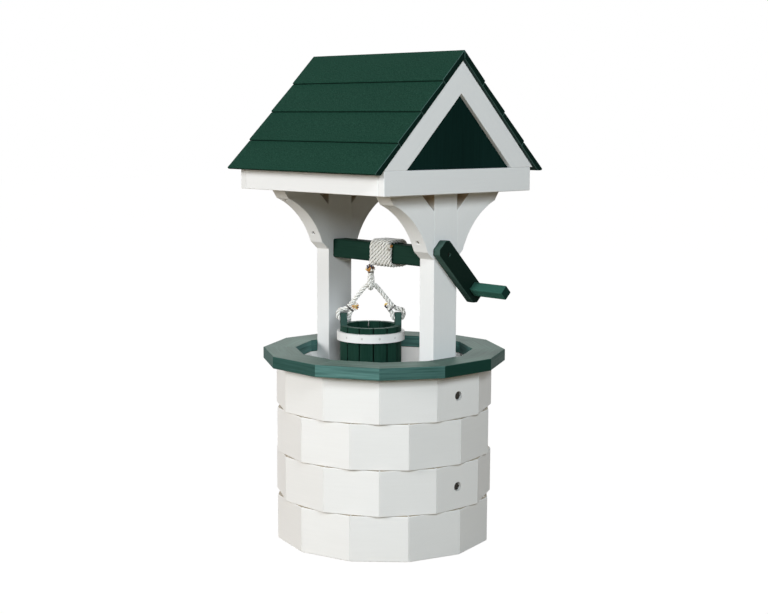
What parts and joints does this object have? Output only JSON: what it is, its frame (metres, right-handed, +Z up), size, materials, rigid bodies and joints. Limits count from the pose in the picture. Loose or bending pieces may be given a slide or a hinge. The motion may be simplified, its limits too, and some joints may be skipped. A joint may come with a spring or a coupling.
{
  "type": "wishing well planter",
  "caption": "Wishing-well planter: faceted block ring with a coping, gabled roof on posts, and a cranked windlass that lowers a small hooped bucket on a rope.",
  "frame": {"origin": "on the ground under the middle of the ring, at the underside of the crossed floor bearers", "axes": "+Z up; +X along the windlass bar, out through the gable with the crank; the eaves run along X at -Y and +Y"},
  "size_m": [0.5092, 0.47, 0.964],
  "materials": {
    "white_lumber": "satin white plastic lumber, slightly eased edges",
    "green_lumber": "dark green plastic lumber, fine grain, satin",
    "roof_green": "dark green plastic lumber with a pebbled face",
    "coping_green": "sage green plastic lumber with streaky grain",
    "panel_green": "near-black green plastic lumber, satin",
    "bucket_green": "dark green plastic staves, satin",
    "inner_lumber": "plain grey-brown plastic lumber, out of sight",
    "rope": "cream three-strand rope with orange and navy tracers at cut ends",
    "steel": "dull zinc-plated steel",
    "band": "dull copper-brown crimped band"
  },
  "bodies": {
    "well": {"course_1": "white_lumber", "course_2": "white_lumber", "course_3": "white_lumber", "course_4": "white_lumber", "coping_ring": "coping_green", "coping_screws": "steel", "course_screws": "steel", "floor_slats": "inner_lumber", "floor_bearers": "inner_lumber", "post_right": "white_lumber", "post_left": "white_lumber", "post_bolts": "steel", "post_washers": "steel", "post_nuts": "steel", "bracket_screws": "steel", "frame_screws": "steel", "roof_screws": "steel", "bracket_right_front": "white_lumber", "rake_right_front": "white_lumber", "bracket_right_back": "white_lumber", "rake_right_back": "white_lumber", "gable_beam_right": "white_lumber", "gable_panel_right": "panel_green", "head_rail_right": "inner_lumber", "bracket_left_front": "white_lumber", "rake_left_front": "white_lumber", "bracket_left_back": "white_lumber", "rake_left_back": "white_lumber", "gable_beam_left": "white_lumber", "gable_panel_left": "panel_green", "head_rail_left": "inner_lumber", "eave_beam_front": "white_lumber", "roof_board_front_1": "roof_green", "roof_board_front_2": "roof_green", "roof_board_front_3": "roof_green", "roof_board_front_4": "roof_green", "eave_beam_back": "white_lumber", "roof_board_back_1": "roof_green", "roof_board_back_2": "roof_green", "roof_board_back_3": "roof_green", "roof_board_back_4": "roof_green", "rafters": "inner_lumber"},
    "windlass": {"windlass_bar": "green_lumber", "crank_arm": "green_lumber", "crank_handle": "green_lumber", "crank_screws": "steel", "rope_winding": "rope", "winding_nail": "steel"},
    "rope_end": {"rope_drop": "rope", "rope_eye": "rope", "eye_clamp": "band"},
    "bucket": {"bucket_staves": "bucket_green", "bucket_ears": "bucket_green", "bucket_bottom": "bucket_green", "bucket_hoop_upper": "white_lumber", "bucket_hoop_lower": "white_lumber", "hoop_nails": "steel", "bail_rope": "rope", "bail_clamps": "band"}
  },
  "joints": [
    {"name": "windlass_turn", "type": "hinge", "parent": "well", "child": "windlass", "pos_m": [0, 0, 0.573], "axis": [1, 0, 0], "range_deg": [0, 360]},
    {"name": "rope_travel", "type": "slide", "parent": "well", "child": "rope_end", "axis": [0, 0, -1], "range_m": [0, 0.17134], "deforming": ["rope_drop"]},
    {"name": "bucket_swing", "type": "hinge", "parent": "rope_end", "child": "bucket", "pos_m": [-0.01, -0.02666, 0.5105], "axis": [0.6088, 0.7934, 0], "range_deg": [-12, 12]}
  ],
  "couplings": [
    {"joint": "rope_travel", "follows": "windlass_turn", "m_per_rad": 0.027262}
  ]
}
